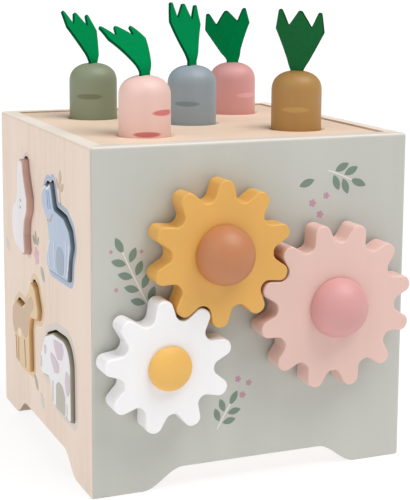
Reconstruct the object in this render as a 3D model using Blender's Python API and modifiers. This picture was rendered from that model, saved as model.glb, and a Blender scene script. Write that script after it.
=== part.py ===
"""Wooden activity cube: three meshing gears, five carrots in a lift-off lid, four animal blocks.

Metres, +Z up. X runs to the right along the gear side and Y away from it. The origin lies on
the floor under the middle of the toy's footprint. Places on the box are given by station(),
from its left face, its front face and the floor.
"""

from math import acos, atan2, cos, hypot, pi, radians, sin, sqrt, tan

import bmesh
import bpy
from mathutils import Matrix, Vector

# Box
WIDTH = 0.200
DEPTH = 0.200
HEIGHT = 0.2023
PANEL = 0.010
EDGE_ROUND = 0.002
GAP = 0.0003
FOOT_WIDTH = 0.031
ARCH_SLOPE = 0.025
ARCH_HEIGHT = 0.012
BASE_BOARD = 0.006
BASE_LIFT = 0.002
POST = 0.010

# Lid
LID = 0.008
LID_RECESS = 0.0009
LID_CLEARANCE = 0.0007

# Gears
MODULE = 0.0074
ADDENDUM = 0.0054
DEDENDUM = 0.0058
TOOTH_TIP = 0.0078
TOOTH_ROOT = 0.0138
TOOTH_ROUND = 0.0045
GEAR_THICKNESS = 0.016
GEAR_STANDOFF = 0.0025
GEAR_EDGE = 0.0013
AXLE_RADIUS = 0.005
WASHER_RADIUS = 0.009
DRIVE_X = 0.0727
DRIVE_Z = 0.1406
DRIVE_PHASE = 15.7

# Each gear: teeth, and its bearing from the gear that drives it, in degrees
GEARS = {
    "yellow": {"teeth": 10, "bearing": None, "colour": (0.76, 0.42, 0.11)},
    "pink": {"teeth": 12, "bearing": -26.85, "colour": (0.77, 0.52, 0.45)},
    "white": {"teeth": 9, "bearing": -117.6, "colour": (0.88, 0.87, 0.86)},
}

# Domed knobs on the axles' ends
KNOB_RIM = 0.001
KNOB_COVER = 0.002
KNOB_GAP = 0.0004
KNOBS = {
    "yellow": {"radius": 0.0173, "height": 0.0180, "colour": (0.58, 0.24, 0.13)},
    "pink": {"radius": 0.0178, "height": 0.0165, "colour": (0.74, 0.34, 0.34)},
    "white": {"radius": 0.0128, "height": 0.0072, "colour": (0.86, 0.50, 0.12)},
}

# Carrots and their holes
CARROT_RADIUS = 0.0156
CARROT_DEPTH = 0.050
CARROT_TIP = 0.005
CARROT_DOME = 0.0125
CARROT_PITCH = WIDTH / 4
HOLE_RADIUS = 0.0150
MOUTH_RADIUS = 0.0188
MOUTH_DEPTH = 0.004

# Each carrot: place in the five-spot pattern, how far it stands out of the lid, and its leaf's
# facing (from the front towards the left side), lean, curl and tilt in degrees, and lift
CARROTS = {
    "sage": {"spot": (-1, 1), "stand": 0.0360, "facing": -39, "lean": -29, "curl": -7, "tilt": 9,
             "lift": 0.0, "colour": (0.21, 0.22, 0.13)},
    "blush": {"spot": (-1, -1), "stand": 0.0355, "facing": -27, "lean": -32, "curl": -31,
              "tilt": 2, "lift": 0.0015, "colour": (0.72, 0.45, 0.38)},
    "blue": {"spot": (0, 0), "stand": 0.0370, "facing": -31, "lean": -26, "curl": 17, "tilt": 5,
             "lift": 0.0025, "colour": (0.28, 0.33, 0.38)},
    "rose": {"spot": (1, 1), "stand": 0.0345, "facing": 10, "lean": 0, "curl": 42,
             "tilt": -12, "lift": 0.0012, "colour": (0.60, 0.24, 0.23)},
    "mustard": {"spot": (1, -1), "stand": 0.0360, "facing": 41, "lean": -5, "curl": 28,
                "tilt": 5, "lift": 0.0, "colour": (0.40, 0.20, 0.06)},
}

# Felt leaves
LEAF_THICKNESS = 0.0020
LEAF_BASE = 0.0080
LEAF_WIDTH = 0.0308
LEAF_SHOULDER = 0.0250
LEAF_HEIGHT = 0.0376
LEAF_NOTCH = 0.0100
LEAF_TIP = 0.0022
LEAF_TAB = 0.0070
LEAF_ROOT = 0.006
LEAF_ROWS = 9
LEAF_ROUND = 0.0015
LEAF_NOTCH_ROUND = 0.0004

# Animal blocks: outlines in drawing units round each block's centre, Y then Z, and for a
# corner with a rounding of its own that as well
DRAWING_UNIT = 0.001
BLOCK_THICKNESS = 0.018
BLOCK_CLEARANCE = 0.0010
BLOCK_ROUND = 0.0055
BLOCK_STEPS = 4
BLOCK_EDGE = 0.0010
BLOCKS = {
    "goose": {
        "centre": (0.137, 0.149),
        "stand": 0.0044,
        "colour": (0.60, 0.40, 0.34),
        "outline": ((-8, 30), (0, 30), (5, 24), (5, 13), (7, 3), (16, -2), (20, -10),
                    (19, -20), (12, -28), (-6, -32), (-12, -30), (-10, -18), (-12, -9),
                    (-18, -2), (-19, 6), (-14, 14), (-10, 22)),
    },
    "donkey": {
        "centre": (0.0565, 0.147),
        "stand": 0.0020,
        "colour": (0.42, 0.50, 0.66),
        "outline": ((16, 27), (21, 23), (29, 24), (36, 16), (34, 9), (26, 3), (21, -4),
                    (21, -12), (26, -20), (24, -29), (-20, -28, 3), (-22, -15), (-27, -6),
                    (-23, 3), (-12, 9), (9, 11)),
    },
    "horse": {
        "centre": (0.131, 0.0715),
        "stand": 0.0024,
        "colour": (0.76, 0.50, 0.25),
        "outline": ((-10, 32), (-21, 28), (-29, 15), (-27, 8), (-10, 6), (-7, -3),
                    (-8, -31, 3), (27, -32), (29, -17), (37, -8), (36, 3), (26, 10),
                    (11, 9), (-6, 18)),
    },
    "cow": {
        "centre": (0.062, 0.060),
        "stand": 0.0022,
        "colour": (0.52, 0.47, 0.37),
        "outline": ((26, 15), (8, 21), (-29, 23, 16), (-30, -25, 3), (10, -24), (14, -9),
                    (33, -12), (39, -5), (33, 5)),
    },
}

# Smoothness of turned and round shapes
TURN_STEPS = 24
ROUND_STEPS = 3
TOOTH_STEPS = 3
EASE_STEPS = 8
MERGE = 0.00001
OVERSIZE = 0.001

# Derived sizes
FRONT_REACH = (GEAR_STANDOFF + GEAR_THICKNESS + KNOB_GAP
               + max(knob["height"] for knob in KNOBS.values()))
SIDE_REACH = max(block["stand"] for block in BLOCKS.values())
BASE_TOP = ARCH_HEIGHT + BASE_LIFT + BASE_BOARD
LID_TOP = HEIGHT - LID_RECESS

# Axes of a piece that is drawn flat: its own X, Y and thickness become these
FACING_FRONT = Matrix(((1, 0, 0), (0, 0, -1), (0, 1, 0)))
FACING_SIDE = Matrix(((0, 0, 1), (1, 0, 0), (0, 1, 0)))
FACING_UP = Matrix.Identity(3)


def station(x, y, z):
    """A place on the box, from its left face, its front face and the floor."""
    return Vector((x - WIDTH / 2 + SIDE_REACH / 2, y - DEPTH / 2 + FRONT_REACH / 2, z))


def clear_scene():
    for item in list(bpy.data.objects):
        bpy.data.objects.remove(item, do_unlink=True)


def new_collection(name):
    group = bpy.data.collections.new(name)
    bpy.context.scene.collection.children.link(group)
    return group


def new_material(name, colour, roughness=0.55):
    material = bpy.data.materials.new(name)
    material.use_nodes = True
    shader = material.node_tree.nodes["Principled BSDF"]
    shader.inputs["Base Color"].default_value = (*colour, 1.0)
    shader.inputs["Roughness"].default_value = roughness
    shader.inputs["Metallic"].default_value = 0.0
    material.diffuse_color = (*colour, 1.0)
    return material


def new_object(name, mesh, group, material=None, place=(0, 0, 0), axes=FACING_UP):
    item = bpy.data.objects.new(name, mesh)
    item.matrix_world = Matrix.Translation(place) @ axes.to_4x4()
    if material is not None:
        mesh.materials.clear()
        mesh.materials.append(material)
    group.objects.link(item)
    return item


def as_cutter(item):
    item.hide_render = True
    item.display_type = "WIRE"
    return item


def rounded(points, radius, steps=ROUND_STEPS):
    """A closed outline with an arc at each corner, smaller where its sides are short.

    A point is X and Y, with a radius of its own after them if it needs one.
    """
    outline = []
    for index, (x, y, *own) in enumerate(points):
        corner = Vector((x, y))
        back = Vector(points[index - 1][:2]) - corner
        ahead = Vector(points[(index + 1) % len(points)][:2]) - corner
        reach = 0.48 * min(back.length, ahead.length)
        back.normalize()
        ahead.normalize()
        half = acos(max(-1.0, min(1.0, back.dot(ahead)))) / 2
        cut = min((own[0] if own else radius) / tan(half), reach)
        arc = cut * tan(half)
        centre = corner + (back + ahead).normalized() * (arc / sin(half))
        start = corner + back * cut - centre
        end = corner + ahead * cut - centre
        first = atan2(start.y, start.x)
        sweep = (atan2(end.y, end.x) - first + pi) % (2 * pi) - pi
        for step in range(steps + 1):
            angle = first + sweep * step / steps
            outline.append((centre.x + arc * cos(angle), centre.y + arc * sin(angle)))
    return outline


def grown(points, distance):
    """A closed outline whose sides all lie further out by distance."""
    area = sum(a[0] * b[1] - b[0] * a[1] for a, b in zip(points, points[1:] + points[:1]))
    outward = distance if area > 0 else -distance
    outline = []
    for index, point in enumerate(points):
        corner = Vector(point)
        back = (corner - Vector(points[index - 1])).normalized()
        ahead = (Vector(points[(index + 1) % len(points)]) - corner).normalized()
        sides = Vector((back.y, -back.x)) + Vector((ahead.y, -ahead.x))
        sides = sides * (2 * outward / sides.length_squared)
        outline.append((corner.x + sides.x, corner.y + sides.y))
    return outline


def circle(x, y, radius, count=TURN_STEPS):
    return [(x + radius * cos(2 * pi * k / count), y + radius * sin(2 * pi * k / count))
            for k in range(count)]


def flat_mesh(name, outlines, thickness):
    """A plate from closed outlines, the first one outside and the others holes."""
    curve = bpy.data.curves.new(name, "CURVE")
    curve.dimensions = "2D"
    curve.fill_mode = "BOTH"
    curve.extrude = thickness / 2
    for outline in outlines:
        spline = curve.splines.new("POLY")
        spline.points.add(len(outline) - 1)
        for point, (x, y) in zip(spline.points, outline):
            point.co = (x, y, 0, 1)
        spline.use_cyclic_u = True
    guide = bpy.data.objects.new(name, curve)
    bpy.context.scene.collection.objects.link(guide)
    depsgraph = bpy.context.evaluated_depsgraph_get()
    mesh = bpy.data.meshes.new_from_object(guide.evaluated_get(depsgraph))
    bpy.data.objects.remove(guide)
    bpy.data.curves.remove(curve)
    form = bmesh.new()
    form.from_mesh(mesh)
    bmesh.ops.remove_doubles(form, verts=form.verts, dist=MERGE)
    bmesh.ops.dissolve_limit(form, angle_limit=radians(0.5), verts=form.verts, edges=form.edges)
    bmesh.ops.recalc_face_normals(form, faces=form.faces)
    form.to_mesh(mesh)
    form.free()
    return mesh


def cut_back(mesh, planes):
    """Trim a closed mesh behind planes, each a point and an outward direction, and close it."""
    form = bmesh.new()
    form.from_mesh(mesh)
    for point, outward in planes:
        everything = form.verts[:] + form.edges[:] + form.faces[:]
        bmesh.ops.bisect_plane(form, geom=everything, plane_co=point, plane_no=outward,
                               clear_outer=True)
        rim = [edge for edge in form.edges if edge.is_boundary]
        bmesh.ops.holes_fill(form, edges=rim, sides=0)
    bmesh.ops.recalc_face_normals(form, faces=form.faces)
    form.to_mesh(mesh)
    form.free()


def turned(name, profile, group, material, place, axes=FACING_UP):
    """A turned piece: the profile runs down its outer side and is spun round its own Z."""
    mesh = bpy.data.meshes.new(name)
    mesh.from_pydata([(radius, 0, height) for radius, height in profile],
                     [(k, k + 1) for k in range(len(profile) - 1)], [])
    item = new_object(name, mesh, group, material, place, axes)
    spin = item.modifiers.new("turn", "SCREW")
    spin.axis = "Z"
    spin.angle = 2 * pi
    spin.steps = TURN_STEPS
    spin.render_steps = TURN_STEPS
    spin.use_merge_vertices = True
    spin.merge_threshold = MERGE
    spin.use_smooth_shade = True
    return item


def smooth(item, sharp=40):
    item.data.shade_smooth()
    item.data.set_sharp_from_angle(angle=radians(sharp))
    return item


def add_bevel(item, width, segments=1):
    bevel = item.modifiers.new("edges", "BEVEL")
    bevel.width = width
    bevel.segments = segments
    bevel.limit_method = "ANGLE"
    bevel.angle_limit = radians(50)
    bevel.use_clamp_overlap = True
    return item


def add_boolean(item, tool, operation):
    cut = item.modifiers.new(operation.lower(), "BOOLEAN")
    cut.operation = operation
    cut.object = tool
    cut.solver = "EXACT"


# Box

def ease(start, end, low, high):
    """Points of an S-curve from one height to another."""
    return [(start + (end - start) * k / EASE_STEPS,
             low + (high - low) * (1 - cos(pi * k / EASE_STEPS)) / 2)
            for k in range(EASE_STEPS + 1)]


def wall_outline(length):
    """A wall standing on two feet with an arch between them, centred, oversize outside."""
    half = length / 2
    inner = half - FOOT_WIDTH
    rise = ease(-inner, -inner + ARCH_SLOPE, 0, ARCH_HEIGHT)
    fall = ease(inner - ARCH_SLOPE, inner, ARCH_HEIGHT, 0)
    top = HEIGHT + OVERSIZE
    side = half + OVERSIZE
    return [(-side, 0)] + rise + fall + [(side, 0), (side, top), (-side, top)]


def outer_form(group):
    """The box's rounded outside, which every wall is trimmed to."""
    mesh = bpy.data.meshes.new("outer_form")
    form = bmesh.new()
    bmesh.ops.create_cube(form, size=1.0)
    foot = -2 * EDGE_ROUND
    bmesh.ops.scale(form, vec=(WIDTH, DEPTH, HEIGHT - foot), verts=form.verts)
    bmesh.ops.translate(form, vec=(0, 0, (HEIGHT + foot) / 2), verts=form.verts)
    edges = [edge for edge in form.edges if max(v.co.z for v in edge.verts) > 0]
    bmesh.ops.bevel(form, geom=edges, offset=EDGE_ROUND, offset_type="OFFSET", segments=3,
                    profile=0.5, affect="EDGES", material=-1)
    form.to_mesh(mesh)
    form.free()
    middle = station(WIDTH / 2, DEPTH / 2, 0)
    return as_cutter(new_object("outer_form", mesh, group, place=middle))


def add_wall(name, length, place, axes, holes, shape, group, material):
    """A mitred wall: its own thickness runs from its inner face outwards."""
    outlines = [wall_outline(length)] + holes
    mesh = flat_mesh(name, outlines, PANEL + OVERSIZE)
    mesh.transform(Matrix.Translation((0, 0, (PANEL + OVERSIZE) / 2)))
    reach = length / 2 - PANEL - GAP / 2
    planes = [((sign * reach, 0, 0), (sign, 0, -1)) for sign in (-1, 1)]
    cut_back(mesh, planes)
    wall = new_object(name, mesh, group, material, place, axes)
    add_boolean(wall, shape, "INTERSECT")
    return smooth(wall)


def add_walls(group, cutters, wood, paint):
    shape = outer_form(cutters)
    turn_back = Matrix.Rotation(pi, 3, "Z")
    axle_holes = [circle(x - WIDTH / 2, z, AXLE_RADIUS + GAP) for x, z in axle_places().values()]
    add_wall("front_panel", WIDTH, station(WIDTH / 2, PANEL, 0), FACING_FRONT, axle_holes,
             shape, group, paint)
    add_wall("back_panel", WIDTH, station(WIDTH / 2, DEPTH - PANEL, 0),
             turn_back @ FACING_FRONT, [], shape, group, wood)
    facing_left = turn_back @ FACING_SIDE
    block_holes = [[(DEPTH / 2 - y, z) for y, z in hole] for hole in hole_outlines()]
    add_wall("left_panel", DEPTH, station(PANEL, DEPTH / 2, 0), facing_left, block_holes,
             shape, group, wood)
    add_wall("right_panel", DEPTH, station(WIDTH - PANEL, DEPTH / 2, 0), FACING_SIDE, [],
             shape, group, wood)


def add_base_and_posts(group, wood):
    inner_width = WIDTH - 2 * PANEL
    inner_depth = DEPTH - 2 * PANEL
    half_x = inner_width / 2 - GAP
    half_y = inner_depth / 2 - GAP
    sheet = [(-half_x, -half_y), (half_x, -half_y), (half_x, half_y), (-half_x, half_y)]
    middle = station(WIDTH / 2, DEPTH / 2, BASE_TOP - BASE_BOARD / 2)
    new_object("base_board", flat_mesh("base_board", [sheet], BASE_BOARD), group, wood, middle)
    low = BASE_TOP + GAP
    high = LID_TOP - LID - GAP
    for end, side_y in (("front", -1), ("rear", 1)):
        for side, side_x in (("left", -1), ("right", 1)):
            name = "corner_post_" + end + "_" + side
            mesh = bpy.data.meshes.new(name)
            form = bmesh.new()
            bmesh.ops.create_cube(form, size=1.0)
            bmesh.ops.scale(form, vec=(POST, POST, high - low), verts=form.verts)
            form.to_mesh(mesh)
            form.free()
            inset = GAP + POST / 2
            place = station(WIDTH / 2 + side_x * (inner_width / 2 - inset),
                            DEPTH / 2 + side_y * (inner_depth / 2 - inset), (low + high) / 2)
            new_object(name, mesh, group, wood, place)


# Lid

def carrot_place(spot):
    return (WIDTH / 2 + spot[0] * CARROT_PITCH, DEPTH / 2 + spot[1] * CARROT_PITCH)


def add_lid(group, cutters, wood):
    half_x = WIDTH / 2 - PANEL - LID_CLEARANCE
    half_y = DEPTH / 2 - PANEL - LID_CLEARANCE
    board = [(-half_x, -half_y), (half_x, -half_y), (half_x, half_y), (-half_x, half_y)]
    spots = [carrot_place(carrot["spot"]) for carrot in CARROTS.values()]
    holes = [circle(x - WIDTH / 2, y - DEPTH / 2, HOLE_RADIUS) for x, y in spots]
    middle = station(WIDTH / 2, DEPTH / 2, LID_TOP - LID / 2)
    lid = new_object("lid_board", flat_mesh("lid_board", [board] + holes, LID), group, wood,
                     middle)
    for name, (x, y) in zip(CARROTS, spots):
        mesh = bpy.data.meshes.new("mouth_" + name)
        form = bmesh.new()
        slope = (MOUTH_RADIUS - HOLE_RADIUS) / MOUTH_DEPTH
        bmesh.ops.create_cone(form, cap_ends=True, segments=TURN_STEPS,
                              radius1=HOLE_RADIUS - slope * OVERSIZE,
                              radius2=MOUTH_RADIUS + slope * OVERSIZE,
                              depth=MOUTH_DEPTH + 2 * OVERSIZE)
        form.to_mesh(mesh)
        form.free()
        place = station(x, y, LID_TOP - MOUTH_DEPTH / 2)
        mouth = as_cutter(new_object("mouth_" + name, mesh, cutters, place=place))
        add_boolean(lid, mouth, "DIFFERENCE")
    return smooth(lid)


# Carrots

def carrot_profile(stand):
    """From the crown down the dome, the straight side and the taper to the rounded tip."""
    shoulder = stand - CARROT_DOME
    dome = []
    for step in range(7):
        turn = pi / 2 * step / 6
        dome.append((CARROT_RADIUS * sin(turn) ** 0.85,
                     shoulder + CARROT_DOME * cos(turn) ** 0.85))
    dome[0] = (0, stand)
    dome[-1] = (CARROT_RADIUS, shoulder)
    body = [(CARROT_RADIUS, 0), (HOLE_RADIUS - GAP, -MOUTH_DEPTH)]
    tip = [(CARROT_TIP * cos(pi / 2 * step / 4),
            CARROT_TIP * (1 - sin(pi / 2 * step / 4)) - CARROT_DEPTH) for step in range(5)]
    tip[-1] = (0, -CARROT_DEPTH)
    return dome + body + tip


def leaf_axes(facing):
    """Across the leaf, up, and the way that its face looks."""
    turn = radians(facing)
    across = Vector((cos(turn), -sin(turn), 0))
    out = Vector((-sin(turn), -cos(turn), 0))
    return across, Vector((0, 0, 1)), out


def add_carrot(name, carrot, group, cutters):
    x, y = carrot_place(carrot["spot"])
    paint = new_material("paint_carrot_" + name, carrot["colour"])
    body = turned("carrot_" + name, carrot_profile(carrot["stand"]), group, paint,
                  station(x, y, LID_TOP))
    across, up, out = leaf_axes(carrot["facing"])
    mesh = bpy.data.meshes.new("slot_" + name)
    form = bmesh.new()
    bmesh.ops.create_cube(form, size=1.0)
    size = (LEAF_BASE + 2 * GAP, LEAF_THICKNESS + 2 * GAP, LEAF_TAB + GAP + OVERSIZE)
    bmesh.ops.scale(form, vec=size, verts=form.verts)
    form.to_mesh(mesh)
    form.free()
    top = LID_TOP + carrot["stand"] + OVERSIZE
    turn = Matrix((across, -out, up)).transposed()
    slot = as_cutter(new_object("slot_" + name, mesh, cutters, axes=turn,
                                place=station(x, y, top - size[2] / 2)))
    add_boolean(body, slot, "DIFFERENCE")
    return body


# Leaves

def leaf_outline():
    """A three-pointed crown on a narrow stalk, its foot in the carrot's slot."""
    half = LEAF_WIDTH / 2
    notch = LEAF_HEIGHT - LEAF_NOTCH
    outer = 0.88 * half
    valley = 0.47 * half
    right = [(LEAF_BASE / 2, -LEAF_TAB), (LEAF_BASE / 2, 0), (half, LEAF_SHOULDER),
             (outer, LEAF_HEIGHT), (outer - LEAF_TIP, LEAF_HEIGHT),
             (valley, notch, LEAF_NOTCH_ROUND), (LEAF_TIP / 2, LEAF_HEIGHT)]
    left = [(-across, *rest) for across, *rest in reversed(right)]
    return rounded(right + left, LEAF_ROUND, 2)


def leaf_lean(carrot, along):
    """The leaf's angle from upright at a distance along it."""
    if along <= 0:
        return 0.0
    rooted = min(1.0, along / LEAF_ROOT)
    return radians(carrot["lean"] * rooted + carrot["curl"] * along / LEAF_HEIGHT)


def leaf_spine(carrot, along):
    """How far out and up the leaf's middle has come at a distance along it."""
    if along <= 0:
        return 0.0, along
    out = up = 0.0
    steps = 24
    for step in range(steps):
        lean = leaf_lean(carrot, along * (step + 0.5) / steps)
        out += sin(lean) * along / steps
        up += cos(lean) * along / steps
    return out, up


def add_leaf(name, carrot, group, felt):
    mesh = flat_mesh("leaf_" + name, [leaf_outline()], LEAF_THICKNESS)
    form = bmesh.new()
    form.from_mesh(mesh)
    for row in range(LEAF_ROWS):
        height = LEAF_HEIGHT * row / LEAF_ROWS
        everything = form.verts[:] + form.edges[:] + form.faces[:]
        bmesh.ops.bisect_plane(form, geom=everything, plane_co=(0, height, 0),
                               plane_no=(0, 1, 0))
    across, up, out = leaf_axes(carrot["facing"])
    for vert in form.verts:
        side, along, face = vert.co
        tilt = radians(carrot["tilt"]) * max(0.0, min(1.0, along / LEAF_ROOT))
        swing = side * cos(tilt) + along * sin(tilt)
        along = along * cos(tilt) - side * sin(tilt)
        drift, rise = leaf_spine(carrot, along)
        lean = leaf_lean(carrot, along)
        vert.co = (across * swing + out * (drift + face * cos(lean))
                   + up * (rise - face * sin(lean)))
    form.to_mesh(mesh)
    form.free()
    x, y = carrot_place(carrot["spot"])
    place = station(x, y, LID_TOP + carrot["stand"] + carrot["lift"])
    return new_object("leaf_" + name, mesh, group, felt, place)


# Gears

def axle_places():
    """Each gear's axle, from the left face and the floor: driven ones at their mesh distance."""
    drive = GEARS["yellow"]["teeth"]
    places = {}
    for name, gear in GEARS.items():
        x, z = DRIVE_X, DRIVE_Z
        if gear["bearing"] is not None:
            centres = MODULE * (drive + gear["teeth"]) / 2
            x += centres * cos(radians(gear["bearing"]))
            z += centres * sin(radians(gear["bearing"]))
        places[name] = (x, z)
    return places


def gear_phase(gear):
    """The angle of a tooth that puts the gear in mesh with the one that drives it."""
    if gear["bearing"] is None:
        return radians(DRIVE_PHASE)
    drive_pitch = 2 * pi / GEARS["yellow"]["teeth"]
    bearing = radians(gear["bearing"])
    ahead = (radians(DRIVE_PHASE) - bearing) / drive_pitch
    return bearing + pi - (ahead + 0.5) * 2 * pi / gear["teeth"]


def gear_outline(gear):
    teeth = gear["teeth"]
    pitch = teeth * MODULE / 2
    tip = pitch + ADDENDUM
    root = pitch - DEDENDUM
    corners = []
    for tooth in range(teeth):
        turn = Matrix.Rotation(gear_phase(gear) + 2 * pi * tooth / teeth, 2)
        for radius, half in ((root, -TOOTH_ROOT / 2), (tip, -TOOTH_TIP / 2),
                             (tip, TOOTH_TIP / 2), (root, TOOTH_ROOT / 2)):
            corner = turn @ Vector((sqrt(radius ** 2 - half ** 2), half))
            corners.append((corner.x, corner.y))
    return rounded(corners, TOOTH_ROUND, TOOTH_STEPS)


def knob_profile(knob):
    """From the crown over the dome to the rim, then up inside the bore for the axle."""
    bore = AXLE_RADIUS + GAP
    depth = knob["height"] - KNOB_COVER
    rise = knob["height"] - KNOB_RIM
    dome = [(knob["radius"] * sin(pi / 2 * step / 8),
             KNOB_RIM + rise * cos(pi / 2 * step / 8)) for step in range(9)]
    dome[0] = (0, knob["height"])
    return dome + [(knob["radius"], 0), (bore, 0), (bore, depth), (0, depth)]


def add_gear(name, gear, group, wood):
    x, z = axle_places()[name]
    bore = circle(0, 0, AXLE_RADIUS + GAP)
    paint = new_material("paint_gear_" + name, gear["colour"])
    middle = -GEAR_STANDOFF - GEAR_THICKNESS / 2
    mesh = flat_mesh("gear_" + name, [gear_outline(gear), bore], GEAR_THICKNESS)
    wheel = new_object("gear_" + name, mesh, group, paint, station(x, middle, z), FACING_FRONT)
    smooth(add_bevel(wheel, GEAR_EDGE))
    ring = flat_mesh("washer_" + name, [circle(0, 0, WASHER_RADIUS), bore],
                     GEAR_STANDOFF - 2 * GAP)
    washer = new_object("washer_" + name, ring, group, wood,
                        station(x, -GEAR_STANDOFF / 2, z), FACING_FRONT)
    smooth(washer)
    knob = KNOBS[name]
    seat = -GEAR_STANDOFF - GEAR_THICKNESS - KNOB_GAP
    finish = new_material("paint_knob_" + name, knob["colour"])
    smooth(turned("knob_" + name, knob_profile(knob), group, finish, station(x, seat, z),
                  FACING_FRONT))
    end = seat - (knob["height"] - KNOB_COVER - GAP)
    length = PANEL - end
    mesh = bpy.data.meshes.new("axle_" + name)
    form = bmesh.new()
    bmesh.ops.create_cone(form, cap_ends=True, segments=TURN_STEPS, radius1=AXLE_RADIUS,
                          radius2=AXLE_RADIUS, depth=length)
    form.to_mesh(mesh)
    form.free()
    smooth(new_object("axle_" + name, mesh, group, wood, station(x, (PANEL + end) / 2, z),
                      FACING_FRONT))


# Animal blocks

def block_outline(block):
    """The block's flowing outline round its centre."""
    corners = [[value * DRAWING_UNIT for value in corner] for corner in block["outline"]]
    return rounded(corners, BLOCK_ROUND, BLOCK_STEPS)


def hole_outlines():
    """The blocks' holes, from the front face and the floor."""
    holes = []
    for block in BLOCKS.values():
        y, z = block["centre"]
        shape = grown(block_outline(block), BLOCK_CLEARANCE)
        holes.append([(y + across, z + up) for across, up in shape])
    return holes


def add_block(name, block, group):
    """A block rests on the bottom of its hole, so the clearance shows above it."""
    y, z = block["centre"]
    drop = BLOCK_CLEARANCE - GAP
    mesh = flat_mesh("block_" + name, [block_outline(block)], BLOCK_THICKNESS)
    paint = new_material("paint_block_" + name, block["colour"])
    place = station(BLOCK_THICKNESS / 2 - block["stand"], y, z - drop)
    smooth(add_bevel(new_object("block_" + name, mesh, group, paint, place, FACING_SIDE),
                     BLOCK_EDGE))


def main():
    clear_scene()
    group = new_collection("activity_cube")
    cutters = new_collection("cutters")
    wood = new_material("birch", (0.79, 0.64, 0.50), 0.6)
    lid_wood = new_material("birch_lid", (0.80, 0.60, 0.43), 0.55)
    paint = new_material("paint_front", (0.54, 0.54, 0.49), 0.6)
    felt = new_material("felt_green", (0.0, 0.22, 0.07), 0.95)
    add_walls(group, cutters, wood, paint)
    add_base_and_posts(group, wood)
    add_lid(group, cutters, lid_wood)
    for name, carrot in CARROTS.items():
        add_carrot(name, carrot, group, cutters)
        add_leaf(name, carrot, group, felt)
    for name, gear in GEARS.items():
        add_gear(name, gear, group, wood)
    for name, block in BLOCKS.items():
        add_block(name, block, group)


main()
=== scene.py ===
"""Looks of the wooden activity cube: birch box, painted gears and blocks, carrots with felt leaves.

Metres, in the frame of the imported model: X along the gear side, Y away from it, Z up.
"""

from math import acos, atan2, cos, pi, radians, sin, sqrt, tan

import bmesh
import bpy
from mathutils import Matrix, Vector


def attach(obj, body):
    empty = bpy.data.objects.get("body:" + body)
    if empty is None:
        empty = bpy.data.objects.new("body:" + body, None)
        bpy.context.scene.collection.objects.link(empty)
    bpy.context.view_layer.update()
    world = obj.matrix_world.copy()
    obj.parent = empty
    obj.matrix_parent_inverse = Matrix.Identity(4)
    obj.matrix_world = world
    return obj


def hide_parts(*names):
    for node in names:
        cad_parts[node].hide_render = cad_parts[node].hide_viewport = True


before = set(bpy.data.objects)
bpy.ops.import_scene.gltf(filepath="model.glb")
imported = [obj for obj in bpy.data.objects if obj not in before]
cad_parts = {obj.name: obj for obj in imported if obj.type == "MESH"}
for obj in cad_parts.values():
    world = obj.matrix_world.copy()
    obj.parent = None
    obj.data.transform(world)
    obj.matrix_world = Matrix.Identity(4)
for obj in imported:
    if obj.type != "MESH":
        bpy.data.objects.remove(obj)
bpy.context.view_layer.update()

# Box
WIDTH = 0.200
DEPTH = 0.200
HEIGHT = 0.2023
PANEL = 0.010
EDGE_ROUND = 0.0021
JOINT = 0.0002
FOOT_WIDTH = 0.031
ARCH_SLOPE = 0.025
ARCH_HEIGHT = 0.012
ARCH_ROUND = 0.0009
RIM_ROUND = 0.0002
# How far the painted shade of the inner faces reaches over the top of the rim
INNER_SHADE_REACH = 0.0004

# Lid
LID = 0.008
LID_RECESS = 0.0009
LID_CLEARANCE = 0.0007
LID_ROUND = 0.0005
LID_TOP = HEIGHT - LID_RECESS

# Gears: teeth, and each one's bearing from the gear that drives it, in degrees
MODULE = 0.0074
ADDENDUM = 0.0054
DEDENDUM = 0.0058
TOOTH_TIP = 0.0078
TOOTH_ROOT = 0.0138
TOOTH_ROUND = 0.0045
GEAR_THICKNESS = 0.016
GEAR_STANDOFF = 0.0025
GEAR_EDGE = 0.0010
DRIVE_X = 0.0727
DRIVE_Z = 0.1406
DRIVE_PHASE = 15.7
GEARS = {
    "yellow": {"teeth": 10, "bearing": None},
    "pink": {"teeth": 12, "bearing": -26.85},
    "white": {"teeth": 9, "bearing": -117.6},
}

# Knobs
KNOB_RIM = 0.001
KNOB_EDGE = 0.0003
KNOB_GAP = 0.0004
KNOBS = {
    "yellow": {"radius": 0.0173, "height": 0.0180},
    "pink": {"radius": 0.0178, "height": 0.0165},
    "white": {"radius": 0.0128, "height": 0.0072},
}

# Carrots and their holes
CARROT_RADIUS = 0.0156
CARROT_DEPTH = 0.050
CARROT_TIP = 0.005
CARROT_DOME = 0.0125
CARROT_PITCH = WIDTH / 4
HOLE_RADIUS = 0.0150
MOUTH_RADIUS = 0.0188
MOUTH_DEPTH = 0.004
CARROT_SLIP = 0.0003
CARROT_FULLNESS = 0.85

# Each carrot: place in the five-spot pattern, how far it stands out of the lid, and its leaf's
# facing (from the front towards the left side), lean, curl and tilt in degrees, and lift
CARROTS = {
    "sage": {"spot": (-1, 1), "stand": 0.0360, "facing": -39, "lean": -29, "curl": -7, "tilt": 9,
             "lift": 0.0},
    "blush": {"spot": (-1, -1), "stand": 0.0355, "facing": -27, "lean": -32, "curl": -31,
              "tilt": 2, "lift": 0.0015},
    "blue": {"spot": (0, 0), "stand": 0.0370, "facing": -31, "lean": -26, "curl": 17, "tilt": 5,
             "lift": 0.0025},
    "rose": {"spot": (1, 1), "stand": 0.0345, "facing": 10, "lean": 0, "curl": 42,
             "tilt": -12, "lift": 0.0012},
    "mustard": {"spot": (1, -1), "stand": 0.0360, "facing": 41, "lean": -5, "curl": 28,
                "tilt": 5, "lift": 0.0},
}

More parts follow.
